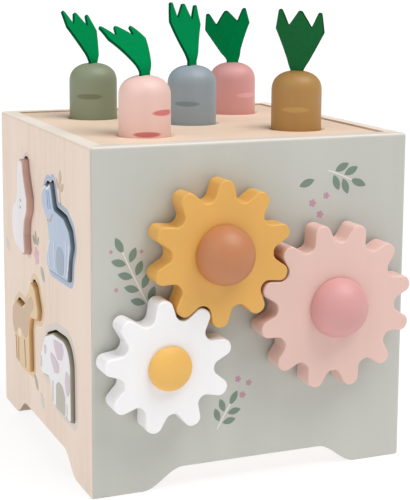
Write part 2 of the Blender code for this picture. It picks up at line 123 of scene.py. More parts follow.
# Felt leaves; a point and a valley of the crown lie at shares of the half width
LEAF_THICKNESS = 0.0020
LEAF_BASE = 0.0080
LEAF_WIDTH = 0.0308
LEAF_SHOULDER = 0.0250
LEAF_HEIGHT = 0.0376
LEAF_NOTCH = 0.0100
LEAF_TIP = 0.0022
LEAF_POINT = 0.88
LEAF_VALLEY = 0.47
LEAF_TAB = 0.0070
LEAF_ROOT = 0.006
LEAF_ROUND = 0.0015
LEAF_NOTCH_ROUND = 0.0004
LEAF_EDGE = 0.0004
LEAF_ROWS = 30
SLOT_PLAY = 0.0008
SLOT_SPARE = 0.001

# Animal blocks: outlines in drawing units round each block's centre, Y then Z, and for a
# corner with a rounding of its own that as well
DRAWING_UNIT = 0.001
BLOCK_THICKNESS = 0.018
BLOCK_CLEARANCE = 0.0010
BLOCK_DROP = 0.0007
BLOCK_ROUND = 0.0055
BLOCK_EDGE = 0.0010
HOLE_EDGE = 0.0007
BLOCKS = {
    "goose": {"centre": (0.137, 0.149), "stand": 0.0044, "outline": (
        (-8, 30), (0, 30), (5, 24), (5, 13), (7, 3), (16, -2), (20, -10), (19, -20), (12, -28),
        (-6, -32), (-12, -30), (-10, -18), (-12, -9), (-18, -2), (-19, 6), (-14, 14),
        (-10, 22))},
    "donkey": {"centre": (0.0565, 0.147), "stand": 0.0020, "outline": (
        (16, 27), (21, 23), (29, 24), (36, 16), (34, 9), (26, 3), (21, -4), (21, -12),
        (26, -20), (24, -29), (-20, -28, 3), (-22, -15), (-27, -6), (-23, 3), (-12, 9),
        (9, 11))},
    "horse": {"centre": (0.131, 0.0715), "stand": 0.0024, "outline": (
        (-10, 32), (-21, 28), (-29, 15), (-27, 8), (-10, 6), (-7, -3), (-8, -31, 3), (27, -32),
        (29, -17), (37, -8), (36, 3), (26, 10), (11, 9), (-6, 18))},
    "cow": {"centre": (0.062, 0.060), "stand": 0.0022, "outline": (
        (26, 15), (8, 21), (-29, 23, 16), (-30, -25, 3), (10, -24), (14, -9), (33, -12),
        (39, -5), (33, 5))},
}

# Printed paint
PRINT = 0.00010
HALO = {"goose": 0.0022, "donkey": 0.0034, "horse": 0.0036, "cow": 0.0042}

# Bands in which a wall's colour changes, from its top, its foot and the front face; the foot's band
# is painted shade
RIM_BAND = (0.0009, 0.0004)
FOOT_SHADE_BAND = (0.0007, 0.0003)
PAINT_TOP = (0.0011, 0.0005)
PAINT_BACK = (0.0006, 0.0017)

# Smoothness and tolerances
CORNER_SHARE = 0.48
ROUND_STEPS = 6
BLOCK_STEPS = 12
TURN_STEPS = 72
DOME_STEPS = 18
KNOB_STEPS = 20
TIP_STEPS = 8
MERGE = 0.00001
NEAR = 0.0002
SHARP_EDGE = radians(50)
SHARP_SHADING = radians(40)

# Place and aim of the camera, from the box's left face, front face and the floor
CAMERA_X = -0.2200
CAMERA_Y = -0.7009
CAMERA_Z = 0.3000
CAMERA_YAW = 23.019
CAMERA_PITCH = 8.760
CAMERA_ROLL = 0.432
FOCAL_PIXELS = 1350.2
PICTURE_HEIGHT = 500
PICTURE_WIDTH = 410
AIM_COLUMN = 220.3
AIM_ROW = 175.5
SENSOR = 36.0

# Light: white from the horizon up to a fade, grey above it, and two wide suns. A bearing runs
# from the front towards the right
WALL_LIGHT = (1.0, 1.0, 1.0, 1.0)
SKY_LIGHT = (0.23, 0.23, 0.23, 1.0)
HORIZON = (0.09, 0.12)
FLOOR_REACH = 60.0
FLOOR_COLOUR = (0.20, 0.20, 0.199, 1.0)
FLOOR_GLOW = 0.84
SUNS = {
    "key": {"bearing": 47, "height": 65, "strength": 2.35, "spread": 46},
    "fill": {"bearing": -72, "height": 35, "strength": 0.80, "spread": 60},
}

# Derived sizes
FRONT_REACH = (GEAR_STANDOFF + GEAR_THICKNESS + KNOB_GAP
               + max(knob["height"] for knob in KNOBS.values()))
SIDE_REACH = max(block["stand"] for block in BLOCKS.values())

# Axes of a piece that is drawn flat: its own X, Y and thickness become these
FACING_FRONT = Matrix(((1, 0, 0), (0, 0, -1), (0, 1, 0)))
FACING_SIDE = Matrix(((0, 0, 1), (1, 0, 0), (0, 1, 0)))
FACING_UP = Matrix.Identity(3)
HALF_TURN = Matrix.Rotation(pi, 3, "Z")
FACING_LEFT = HALF_TURN @ FACING_SIDE
FACING_BACK = HALF_TURN @ FACING_FRONT


def station(x, y, z):
    """A place on the box, from its left face, its front face and the floor."""
    return Vector((x - WIDTH / 2 + SIDE_REACH / 2, y - DEPTH / 2 + FRONT_REACH / 2, z))


# Outlines

def rounded(points, radius, steps=ROUND_STEPS):
    """A closed outline with an arc at each corner, smaller where its sides are short.

    A point is X and Y, with a radius of its own after them if it needs one.
    """
    outline = []
    for index, (x, y, *own) in enumerate(points):
        corner = Vector((x, y))
        back = Vector(points[index - 1][:2]) - corner
        ahead = Vector(points[(index + 1) % len(points)][:2]) - corner
        reach = CORNER_SHARE * min(back.length, ahead.length)
        back.normalize()
        ahead.normalize()
        half = acos(max(-1.0, min(1.0, back.dot(ahead)))) / 2
        cut = min((own[0] if own else radius) / tan(half), reach)
        arc = cut * tan(half)
        centre = corner + (back + ahead).normalized() * (arc / sin(half))
        start = corner + back * cut - centre
        end = corner + ahead * cut - centre
        first = atan2(start.y, start.x)
        sweep = (atan2(end.y, end.x) - first + pi) % (2 * pi) - pi
        for step in range(steps + 1):
            angle = first + sweep * step / steps
            outline.append((centre.x + arc * cos(angle), centre.y + arc * sin(angle)))
    return outline


def grown(points, distance):
    """A closed outline whose sides all lie further out by distance."""
    area = sum(a[0] * b[1] - b[0] * a[1] for a, b in zip(points, points[1:] + points[:1]))
    outward = distance if area > 0 else -distance
    outline = []
    for index, point in enumerate(points):
        corner = Vector(point)
        back = (corner - Vector(points[index - 1])).normalized()
        ahead = (Vector(points[(index + 1) % len(points)]) - corner).normalized()
        sides = Vector((back.y, -back.x)) + Vector((ahead.y, -ahead.x))
        sides = sides * (2 * outward / sides.length_squared)
        outline.append((corner.x + sides.x, corner.y + sides.y))
    return outline


def circle(x, y, radius, count=TURN_STEPS):
    return [(x + radius * cos(2 * pi * k / count), y + radius * sin(2 * pi * k / count))
            for k in range(count)]


# Pieces

def mesh_of(form, name):
    """Turn a form into a mesh and free it."""
    mesh = bpy.data.meshes.new(name)
    form.to_mesh(mesh)
    form.free()
    return mesh


def merge_in(form, part):
    """Add the faces of another form."""
    mesh = mesh_of(part, "part")
    form.from_mesh(mesh)
    bpy.data.meshes.remove(mesh)


def put_object(name, data):
    item = bpy.data.objects.new(name, data)
    bpy.context.scene.collection.objects.link(item)
    return item


def face_out(form):
    """Make every face look outward."""
    bmesh.ops.recalc_face_normals(form, faces=form.faces)


def weld(form):
    """Join corners that lie on each other."""
    bmesh.ops.remove_doubles(form, verts=form.verts, dist=MERGE)


def baked(item):
    """The mesh that a curve, or a modifier on a piece, gives."""
    depsgraph = bpy.context.evaluated_depsgraph_get()
    return bpy.data.meshes.new_from_object(item.evaluated_get(depsgraph))


def slab(outline, low, high):
    """A plate from one closed outline, extruded from one level to another."""
    form = bmesh.new()
    face = form.faces.new([form.verts.new((x, y, low)) for x, y in outline])
    grow = bmesh.ops.extrude_face_region(form, geom=[face])
    raised = [item for item in grow["geom"] if isinstance(item, bmesh.types.BMVert)]
    bmesh.ops.translate(form, vec=(0, 0, high - low), verts=raised)
    face_out(form)
    return form


def plate(outlines, low, high):
    """A plate from closed outlines, the first one outside and the others holes."""
    curve = bpy.data.curves.new("plate", "CURVE")
    curve.dimensions = "2D"
    curve.fill_mode = "BOTH"
    curve.extrude = (high - low) / 2
    for outline in outlines:
        spline = curve.splines.new("POLY")
        spline.points.add(len(outline) - 1)
        for point, (x, y) in zip(spline.points, outline):
            point.co = (x, y, 0, 1)
        spline.use_cyclic_u = True
    guide = put_object("plate", curve)
    mesh = baked(guide)
    bpy.data.objects.remove(guide)
    bpy.data.curves.remove(curve)
    form = bmesh.new()
    form.from_mesh(mesh)
    bpy.data.meshes.remove(mesh)
    weld(form)
    bmesh.ops.dissolve_limit(form, angle_limit=radians(0.5), verts=form.verts,
                             edges=form.edges)
    face_out(form)
    bmesh.ops.translate(form, vec=(0, 0, (low + high) / 2), verts=form.verts)
    return form


def soften(form, chosen, radius, steps=3):
    """Round the chosen edges."""
    bmesh.ops.bevel(form, geom=chosen, offset=radius, offset_type="OFFSET", segments=steps,
                    profile=0.5, affect="EDGES", clamp_overlap=True, material=-1)


def edges_where(form, test):
    """Sharp edges whose two ends both pass the test."""
    return [edge for edge in form.edges
            if len(edge.link_faces) == 2 and edge.calc_face_angle() > SHARP_EDGE
            and all(test(vert.co) for vert in edge.verts)]


def soften_rims(form, low, high, radius, steps):
    """Round the edges of a plate's lower and upper face."""
    for level in (low, high):
        rim = edges_where(form, lambda place: abs(place.z - level) < MERGE)
        soften(form, rim, radius, steps)


def split(form, point, outward, clear=False):
    """Cut a form's faces at a plane, and clear what lies beyond if asked."""
    everything = form.verts[:] + form.edges[:] + form.faces[:]
    bmesh.ops.bisect_plane(form, geom=everything, plane_co=point, plane_no=outward,
                           clear_outer=clear)


def trim(form, point, outward):
    """Cut a closed form at a plane and close it."""
    split(form, point, outward, clear=True)
    rim = [edge for edge in form.edges if edge.is_boundary]
    bmesh.ops.holes_fill(form, edges=rim, sides=0)


def turned(profile, steps=TURN_STEPS):
    """Spin a profile, given as radius and height, round Z."""
    form = bmesh.new()
    line = [form.verts.new((radius, 0, height)) for radius, height in profile]
    for upper, lower in zip(line, line[1:]):
        form.edges.new((upper, lower))
    bmesh.ops.spin(form, geom=form.verts[:] + form.edges[:], cent=(0, 0, 0), axis=(0, 0, 1),
                   angle=2 * pi, steps=steps, use_merge=True)
    weld(form)
    face_out(form)
    return form


def add_piece(name, form, place, axes, material, body, nodes=(), weigh=True):
    """Make a piece of a form, with its place in its mesh, that rides on a body."""
    form.transform(Matrix.Translation(place) @ axes.to_4x4())
    mesh = mesh_of(form, name)
    mesh.materials.append(material)
    mesh.shade_smooth()
    mesh.set_sharp_from_angle(angle=SHARP_SHADING)
    item = put_object(name, mesh)
    if weigh:
        shading = item.modifiers.new("shading", "WEIGHTED_NORMAL")
        shading.keep_sharp = True
        shading.weight = 100
    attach(item, body)
    if nodes:
        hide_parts(*nodes)
    return item


# Shader building

def feed(tree, item, inputs):
    """Give a node's inputs a value each, or the output of another node."""
    for key, value in inputs.items():
        if isinstance(value, bpy.types.NodeSocket):
            tree.links.new(value, item.inputs[key])
        else:
            item.inputs[key].default_value = value


def put(tree, kind, inputs, **settings):
    """Add a shader node, with its settings, and its inputs given as values or as sockets."""
    item = tree.nodes.new("ShaderNode" + kind)
    for name, value in settings.items():
        setattr(item, name, value)
    feed(tree, item, inputs)
    return item


def calculate(tree, operation, *values):
    return put(tree, "Math", dict(enumerate(values)), operation=operation).outputs[0]


def fade(tree, value, low, high):
    """0 below low, 1 above high, smooth between."""
    item = put(tree, "MapRange", {"Value": value, "From Min": low, "From Max": high},
               interpolation_type="SMOOTHSTEP")
    return item.outputs["Result"]


def blend(tree, factor, first, second):
    """The first colour at factor 0 and the second at 1."""
    item = put(tree, "Mix", {0: factor, 6: first, 7: second}, data_type="RGBA")
    return item.outputs[2]


def noise(tree, place, scale, detail, roughness, distortion=0.0):
    item = put(tree, "TexNoise", {"Vector": place, "Scale": scale, "Detail": detail,
                                  "Roughness": roughness, "Distortion": distortion})
    return item.outputs["Fac"]


def drawn_out(tree, place, share):
    """A place for a pattern that is drawn out along Z, as the grain is."""
    item = put(tree, "VectorMath", {0: place, 1: (1.0, 1.0, share)}, operation="MULTIPLY")
    return item.outputs[0]


def new_group(name, inputs, outputs):
    """A shader group that takes a place and named numbers, and puts out numbers."""
    tree = bpy.data.node_groups.new(name, "ShaderNodeTree")
    tree.interface.new_socket("Vector", in_out="INPUT", socket_type="NodeSocketVector")
    for socket, value in inputs.items():
        made = tree.interface.new_socket(socket, in_out="INPUT", socket_type="NodeSocketFloat")
        made.default_value = value
    for socket in outputs:
        tree.interface.new_socket(socket, in_out="OUTPUT", socket_type="NodeSocketFloat")
    return tree, tree.nodes.new("NodeGroupInput"), tree.nodes.new("NodeGroupOutput")


def use_group(tree, group, inputs):
    return put(tree, "Group", inputs, node_tree=group)


def wood_figure_group():
    """Birch figure with the grain along Z: broad tone, growth lines, and fine fibres."""
    tree, given, result = new_group("wood_figure", {"Lines": 42.0, "Waviness": 11.0},
                                    ["Tone", "Fibre"])
    place = given.outputs["Vector"]
    broad_place = drawn_out(tree, place, 0.22)
    fibre_place = drawn_out(tree, place, 0.035)
    broad = noise(tree, broad_place, 26.0, 3.0, 0.55)
    slant = put(tree, "Mapping", {"Vector": broad_place, "Rotation": (0, 0, pi / 4)}).outputs[0]
    lines = put(tree, "TexWave", {"Vector": slant, "Scale": given.outputs["Lines"],
                                  "Distortion": given.outputs["Waviness"], "Detail": 3.0,
                                  "Detail Scale": 1.4}, wave_type="BANDS",
                bands_direction="X", wave_profile="SIN").outputs["Fac"]
    fibre = noise(tree, fibre_place, 900.0, 4.0, 0.7)
    faint = calculate(tree, "MULTIPLY", lines, fade(tree, broad, 0.3, 0.7))
    tone = calculate(tree, "MULTIPLY_ADD", faint, 0.45, calculate(tree, "MULTIPLY", broad, 0.65))
    feed(tree, result, {"Tone": tone, "Fibre": fade(tree, fibre, 0.35, 0.68)})
    return tree


def paint_film_group():
    """Thin satin paint on wood: a slow drift in tone, and a ripple that follows the grain."""
    tree, given, result = new_group("paint_film", {}, ["Drift", "Ripple"])
    place = given.outputs["Vector"]
    grain_place = drawn_out(tree, place, 0.12)
    drift = noise(tree, grain_place, 40.0, 3.0, 0.5)
    pebbles = noise(tree, place, 1400.0, 2.0, 0.5)
    grain = noise(tree, grain_place, 1000.0, 3.0, 0.6)
    ripple = calculate(tree, "MULTIPLY_ADD", pebbles, 0.4,
                       calculate(tree, "MULTIPLY", grain, 0.6))
    feed(tree, result, {"Drift": fade(tree, drift, 0.3, 0.7), "Ripple": ripple})
    return tree


def felt_fibre_group():
    """Pressed wool: matted fibres in a fine and a coarse layer."""
    tree, given, result = new_group("felt_fibre", {}, ["Tone", "Fuzz"])
    place = given.outputs["Vector"]
    fine = noise(tree, place, 2600.0, 5.0, 0.7, 1.2)
    mat = noise(tree, place, 520.0, 4.0, 0.65, 2.0)
    fuzz = calculate(tree, "MULTIPLY_ADD", fine, 0.55, calculate(tree, "MULTIPLY", mat, 0.45))
    feed(tree, result, {"Tone": fade(tree, mat, 0.32, 0.68), "Fuzz": fuzz})
    return tree


def wrinkle_group():
    """One long oval paint mark on a round piece that stands round Z."""
    tree, given, result = new_group(
        "carrot_wrinkle",
        {"Bearing": 0.0, "Height": 0.0, "Half Width": 0.4, "Half Height": 0.001}, ["Mask"])
    parts = put(tree, "SeparateXYZ", {0: given.outputs["Vector"]}).outputs
    bearing = calculate(tree, "ARCTAN2", parts["X"], calculate(tree, "MULTIPLY", parts["Y"], -1))

    def share(value, centre, half):
        offset = calculate(tree, "SUBTRACT", value, given.outputs[centre])
        return calculate(tree, "DIVIDE", offset, given.outputs[half])

    across = share(bearing, "Bearing", "Half Width")
    rise = share(parts["Z"], "Height", "Half Height")
    spread = calculate(tree, "MULTIPLY_ADD", rise, rise, calculate(tree, "MULTIPLY", across, across))
    within = calculate(tree, "SUBTRACT", 1.0, spread)
    feed(tree, result, {"Mask": fade(tree, within, -0.1, 0.5)})
    return tree


WOOD_FIGURE = wood_figure_group()
PAINT_FILM = paint_film_group()
FELT_FIBRE = felt_fibre_group()
WRINKLE = wrinkle_group()


def rgb(red, green, blue):
    """A colour as a picture shows it, from 0 to 255, made linear."""
    shares = []
    for part in (red, green, blue):
        share = part / 255
        shares.append(share / 12.92 if share <= 0.04045 else ((share + 0.055) / 1.055) ** 2.4)
    return (*shares, 1.0)


def shaded(colour, share):
    return (colour[0] * share, colour[1] * share, colour[2] * share, 1.0)


BIRCH_PALE = rgb(245, 226, 210)
BIRCH_DARK = rgb(234, 210, 191)
RIM_BIRCH = rgb(249, 237, 225)
# A darker copy of the rim colour for the front wall, as painted shade
SHADED_FRONT_RIM_BIRCH = rgb(228, 217, 208)
# Painted shade on the walls' inner faces and in the groove round the lid
INNER_SHADE_BIRCH = rgb(208, 182, 154)
# Laser-cut brown with painted shade on cut faces, and painted shade along the feet
CUT_BROWN_AND_SHADE = rgb(146, 120, 100)
HONEY_PALE = rgb(250, 226, 204)
HONEY_DARK = rgb(238, 208, 182)


def new_material(name, roughness, coat=0.0, specular=0.5):
    material = bpy.data.materials.new(name)
    material.use_nodes = True
    tree = material.node_tree
    shader = tree.nodes["Principled BSDF"]
    feed(tree, shader, {"Roughness": roughness, "Coat Weight": coat, "Coat Roughness": 0.25,
                        "Specular IOR Level": specular})
    coords = tree.nodes.new("ShaderNodeTexCoord").outputs["Object"]
    return material, tree, shader, coords


def turn_grain(tree, coords, along):
    """Turn the pattern so that its grain runs along X or Z."""
    turns = {"X": (0, pi / 2, 0), "Z": (0, 0, 0)}
    return put(tree, "Mapping", {"Vector": coords, "Rotation": turns[along]}).outputs[0]


def dress(tree, shader, colour, height, strength, distance):
    """Give a shader its colour and its bump."""
    bump = put(tree, "Bump", {"Height": height, "Strength": strength, "Distance": distance})
    feed(tree, shader, {"Base Color": colour, "Normal": bump.outputs[0]})


def wood_colour(tree, place, pale, dark):
    figure = use_group(tree, WOOD_FIGURE, {"Vector": place})
    tone = blend(tree, figure.outputs["Tone"], pale, dark)
    fibre = calculate(tree, "MULTIPLY", figure.outputs["Fibre"], 0.16)
    return blend(tree, fibre, tone, shaded(dark, 0.86)), figure


def birch(name, pale, dark, along, place_colour_and_shade=None):
    """Sanded birch with a matt lacquer, and a function that changes its colour by place, for walls
    with painted shade.
    """
    material, tree, shader, coords = new_material(name, 0.52, coat=0.08)
    place = turn_grain(tree, coords, along)
    colour, figure = wood_colour(tree, place, pale, dark)
    if place_colour_and_shade:
        colour = place_colour_and_shade(tree, coords, colour)
    dress(tree, shader, colour, figure.outputs["Fibre"], 0.25, 0.00012)
    return material


def wall_colour_and_shade(tree, coords, colour, rim_colour=RIM_BIRCH):
    """A wall's pale sanded rim, painted shade on its inner face and foot, and laser-cut brown with
    painted shade on cut faces.
    """
    parts = put(tree, "SeparateXYZ", {0: coords}).outputs
    middle = station(WIDTH / 2, DEPTH / 2, 0)
    within = []
    for axis, centre, half in (("X", middle.x, WIDTH / 2), ("Y", middle.y, DEPTH / 2)):
        offset = calculate(tree, "ABSOLUTE", calculate(tree, "SUBTRACT", parts[axis], centre))
        within.append(calculate(tree, "LESS_THAN", offset, half - PANEL + INNER_SHADE_REACH))
    # Painted shade on the inner faces, reaching a little over the top of the rim
    inner_shade = calculate(tree, "MULTIPLY", *within)
    rim = fade(tree, parts["Z"], *(HEIGHT - depth for depth in RIM_BAND))
    # Cut faces get laser-cut brown with painted shade, and the foot painted shade
    cut_face_brown_and_shade = put(tree, "Attribute", {}, attribute_name="shaded_cut_edge").outputs["Fac"]
    cut = calculate(tree, "MAXIMUM", cut_face_brown_and_shade, fade(tree, parts["Z"], *FOOT_SHADE_BAND))
    sanded = blend(tree, rim, colour, rim_colour)
    return blend(tree, cut, blend(tree, inner_shade, sanded, INNER_SHADE_BIRCH), CUT_BROWN_AND_SHADE)


def film_colour(tree, coords, colour, share):
    """A paint's colour, which drifts down to a share of itself, and its ripple."""
    film = use_group(tree, PAINT_FILM, {"Vector": coords})
    tinted = blend(tree, film.outputs["Drift"], colour, shaded(colour, share))
    return tinted, film.outputs["Ripple"]


def satin_paint(name, colour, roughness=0.42, drift=0.06, coat=0.12):
    """Satin paint through which the grain shows a little."""
    material, tree, shader, coords = new_material(name, roughness, coat=coat)
    tinted, ripple = film_colour(tree, coords, colour, 1 - drift)
    dress(tree, shader, tinted, ripple, 0.18, 0.00010)
    return material


def paints(prefix, **colours):
    """Satin paints by name, each from its colour as a picture shows it."""
    return {name: satin_paint(prefix + name, rgb(*colour)) for name, colour in colours.items()}


def front_paint(name, colour, pale, dark):
    """Grey paint on the front face that stops on the rounded edges, with bare birch behind."""
    material, tree, shader, coords = new_material(name, 0.5, coat=0.05)
    painted, ripple = film_colour(tree, coords, colour, 0.955)
    bare = wood_colour(tree, coords, pale, dark)[0]
    parts = put(tree, "SeparateXYZ", {0: coords}).outputs
    face = station(0, 0, 0).y
    behind = fade(tree, parts["Y"], *(face + depth for depth in PAINT_BACK))
    above = fade(tree, parts["Z"], *(HEIGHT - depth for depth in PAINT_TOP))
    # Paint stops along the foot, which then takes painted shade
    below = fade(tree, parts["Z"], *FOOT_SHADE_BAND)
    unpainted = calculate(tree, "MAXIMUM", behind, calculate(tree, "MAXIMUM", above, below))
    # The bare birch takes painted shade on the front rim, inner face and foot, and laser-cut brown
    # on cut faces
    bare = wall_colour_and_shade(tree, coords, bare, SHADED_FRONT_RIM_BIRCH)
    dress(tree, shader, blend(tree, unpainted, painted, bare), ripple, 0.2, 0.00010)
    return material


def mark(bearing, height, colour, spread=34, thick=0.0018):
    """A brushed oval on a carrot: its bearing and half its width in degrees, and its colour."""
    return {"Bearing": radians(bearing), "Height": height, "Half Width": radians(spread),
            "Half Height": thick}, colour


def carrot_paint(name, colour, marks, axis):
    """Satin paint with brushed oval marks."""
    material, tree, shader, coords = new_material("paint_carrot_" + name, 0.46, specular=0.45)
    tinted, ripple = film_colour(tree, coords, colour, 0.93)
    local = put(tree, "VectorMath", {0: coords, 1: axis}, operation="SUBTRACT").outputs[0]
    for oval, oval_colour in marks:
        wrinkle = use_group(tree, WRINKLE, {"Vector": local, **oval})
        tinted = blend(tree, wrinkle.outputs["Mask"], tinted, oval_colour)
    dress(tree, shader, tinted, ripple, 0.15, 0.00010)
    return material


def felt(name, colour):
    """Stiff wool felt with matted fibres, its cut sides darkened as painted shade."""
    material, tree, shader, coords = new_material(name, 0.95, specular=0.03)
    fibre = use_group(tree, FELT_FIBRE, {"Vector": coords})
    matted = blend(tree, fibre.outputs["Tone"], colour, shaded(colour, 0.84))
    # The felt's cut sides are darkened as painted shade
    cut = put(tree, "Attribute", {}, attribute_name="shaded_cut_edge").outputs["Fac"]
    matted = blend(tree, cut, matted, shaded(colour, 0.35))
    dress(tree, shader, matted, fibre.outputs["Fuzz"], 0.6, 0.00035)
    return material


# Finishes

UPRIGHT_BIRCH = birch("birch_upright", BIRCH_PALE, BIRCH_DARK, "Z", place_colour_and_shade=wall_colour_and_shade)
LEVEL_BIRCH = birch("birch_level", HONEY_PALE, HONEY_DARK, "X")
GREY_FRONT = front_paint("paint_front_grey", rgb(198, 199, 191), BIRCH_PALE, BIRCH_DARK)
GREEN_FELT = felt("felt_green", rgb(0, 140, 79))
# A darker copy of the green felt for one leaf, as painted shade
SHADED_GREEN_FELT = felt("felt_green_shaded", rgb(33, 107, 60))
GEAR_PAINTS = {
    "yellow": satin_paint("paint_gear_yellow", rgb(230, 174, 85)),
    "pink": satin_paint("paint_gear_pink", rgb(232, 195, 184)),
    "white": satin_paint("paint_gear_white", rgb(247, 245, 246), drift=0.03),
}
KNOB_PAINTS = {
    "yellow": satin_paint("paint_knob_terracotta", rgb(192, 127, 85), roughness=0.47, coat=0.0),
    "pink": satin_paint("paint_knob_pink", rgb(216, 157, 155), roughness=0.47, coat=0.0),
    "white": satin_paint("paint_knob_amber", rgb(240, 187, 96), roughness=0.52, coat=0.0),
}
CARROT_COLOURS = {
    "sage": rgb(138, 147, 120),
    "blush": rgb(241, 204, 194),
    "blue": rgb(152, 164, 172),
    "rose": rgb(223, 161, 158),
    "mustard": rgb(178, 135, 74),
}
CARROT_MARKS = {
    "sage": [mark(-28, 0.0150, rgb(114, 118, 88), spread=36, thick=0.0020)],
    "blush": [mark(28, 0.0143, rgb(215, 120, 120), thick=0.0020),
              mark(-14, 0.0018, rgb(205, 115, 115))],
    "blue": [mark(-34, 0.0134, rgb(118, 140, 144))],
    "rose": [mark(17, 0.0129, rgb(234, 172, 172))],
    "mustard": [mark(-29, 0.0130, rgb(190, 148, 80), spread=36)],
}


# Box

def ease(start, end, low, high, steps=16):
    """Points of an S-curve from one height to another."""
    return [(start + (end - start) * k / steps,
             low + (high - low) * (1 - cos(pi * k / steps)) / 2) for k in range(steps + 1)]


def wall_outline(length):
    """A wall on two feet with an arch between them, centred."""
    half = length / 2
    inner = half - FOOT_WIDTH
    rise = ease(-inner, -inner + ARCH_SLOPE, 0, ARCH_HEIGHT)
    fall = ease(inner - ARCH_SLOPE, inner, ARCH_HEIGHT, 0)
    return [(-half, 0)] + rise + fall + [(half, 0), (half, HEIGHT), (-half, HEIGHT)]


def add_wall(name, length, place, axes, material, holes=()):
    """A mitred wall, its inner face at level 0, with rounded outer edges."""
    form = plate([wall_outline(length)] + list(holes), 0, PANEL)
    half = length / 2

    def on_foot_edge(p):
        return p.z > PANEL - EDGE_ROUND - NEAR and p.y < ARCH_HEIGHT + NEAR

    def on_hole(p):
        return (p.z > PANEL - NEAR and NEAR + ARCH_HEIGHT < p.y < HEIGHT - NEAR
                and abs(p.x) < half - NEAR)

    def on_outer_edge(p):
        above = p.y > HEIGHT - NEAR
        beside = abs(p.x) > half - NEAR
        return (above and beside) or (p.z > PANEL - NEAR and (above or beside))

    # Faces of the arch and the holes are marked for laser-cut brown with painted shade
    shaded_cut_edge = form.faces.layers.float.new("shaded_cut_edge")
    for face in form.faces:
        spot = face.calc_center_median()
        beside = abs(spot.x) > half - NEAR or spot.y < NEAR or spot.y > HEIGHT - NEAR
        face[shaded_cut_edge] = 0.0 if abs(face.normal.z) > 0.5 or beside else 1.0
    outer = [edge for edge in edges_where(form, on_outer_edge)
             if max(vert.co.z for vert in edge.verts) > NEAR]
    soften(form, outer, EDGE_ROUND, 5)
    soften(form, edges_where(form, on_foot_edge), ARCH_ROUND, 2)
    soften(form, edges_where(form, on_hole), HOLE_EDGE, 2)
    soften(form, edges_where(form, lambda p: p.z < NEAR and p.y > HEIGHT - NEAR), RIM_ROUND, 3)
    for side in (-1, 1):
        trim(form, (side * (half - PANEL - JOINT / 2), 0, 0), (side, 0, -1))
    face_out(form)
    return add_piece("wall_" + name, form, place, axes, material, "cube",
                     [name + "_panel"])


def block_outline(block):
    corners = [[value * DRAWING_UNIT for value in corner] for corner in block["outline"]]
    return rounded(corners, BLOCK_ROUND, BLOCK_STEPS)


def add_box():
    add_wall("front", WIDTH, station(WIDTH / 2, PANEL, 0), FACING_FRONT, GREY_FRONT)
    add_wall("back", WIDTH, station(WIDTH / 2, DEPTH - PANEL, 0), FACING_BACK, UPRIGHT_BIRCH)
    add_wall("right", DEPTH, station(WIDTH - PANEL, DEPTH / 2, 0), FACING_SIDE, UPRIGHT_BIRCH)
    holes = []
    for block in BLOCKS.values():
        y, z = block["centre"]
        hole = grown(block_outline(block), BLOCK_CLEARANCE)
        holes.append([(DEPTH / 2 - y - across, z + up) for across, up in hole])
    add_wall("left", DEPTH, station(PANEL, DEPTH / 2, 0), FACING_LEFT, UPRIGHT_BIRCH,
             holes)
    for name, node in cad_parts.items():
        if name.startswith(("base", "corner", "axle", "washer")):
            node.data.materials.clear()
            node.data.materials.append(UPRIGHT_BIRCH)


# Lid

def carrot_place(spot):
    return (WIDTH / 2 + spot[0] * CARROT_PITCH, DEPTH / 2 + spot[1] * CARROT_PITCH)


def quarter(steps):
    """Angles from 0 to a quarter turn."""
    return [pi / 2 * step / steps for step in range(steps + 1)]


def mouth_profile():
    """From the lid's upper face over the rounded mouth to its lower face."""
    drop = MOUTH_RADIUS - HOLE_RADIUS
    arc = [(MOUTH_RADIUS - drop * sin(turn), -drop * (1 - cos(turn)))
           for turn in quarter(TIP_STEPS)]
    return arc + [(HOLE_RADIUS, -LID)]


def add_lid():
    """A board with five round holes whose mouths are rounded."""
    half_x = WIDTH / 2 - PANEL - LID_CLEARANCE
    half_y = DEPTH / 2 - PANEL - LID_CLEARANCE
    board = [(-half_x, -half_y), (half_x, -half_y), (half_x, half_y), (-half_x, half_y)]
    middle = Vector((WIDTH / 2, DEPTH / 2))
    centres = [Vector(carrot_place(carrot["spot"])) - middle for carrot in CARROTS.values()]
    form = plate([board] + [circle(*centre, MOUTH_RADIUS) for centre in centres], -LID, 0)

    def by_hole(place, centre):
        return (place.xy - centre).length < MOUTH_RADIUS * 1.1

    walls = [face for face in form.faces if abs(face.normal.z) < 0.5
             and any(by_hole(face.calc_center_median(), centre) for centre in centres)]
    bmesh.ops.delete(form, geom=walls, context="FACES")
    low = [vert for vert in form.verts if vert.co.z < -LID / 2 and vert.is_boundary]
    for centre in centres:
        for vert in low:
            if by_hole(vert.co, centre):
                reach = (vert.co.xy - centre).normalized() * HOLE_RADIUS
                vert.co.xy = centre + reach
        mouth = turned(mouth_profile())
        bmesh.ops.translate(mouth, vec=(centre.x, centre.y, 0), verts=mouth.verts)
        merge_in(form, mouth)
    weld(form)
    rim = edges_where(form, lambda p: abs(p.z) < MERGE
                      and (abs(p.x) > half_x - MERGE or abs(p.y) > half_y - MERGE))
    soften(form, rim, LID_ROUND, 2)
    face_out(form)
    add_piece("lid", form, station(WIDTH / 2, DEPTH / 2, LID_TOP), FACING_UP, LEVEL_BIRCH,
              "lid", ["lid_board"])


# Carrots

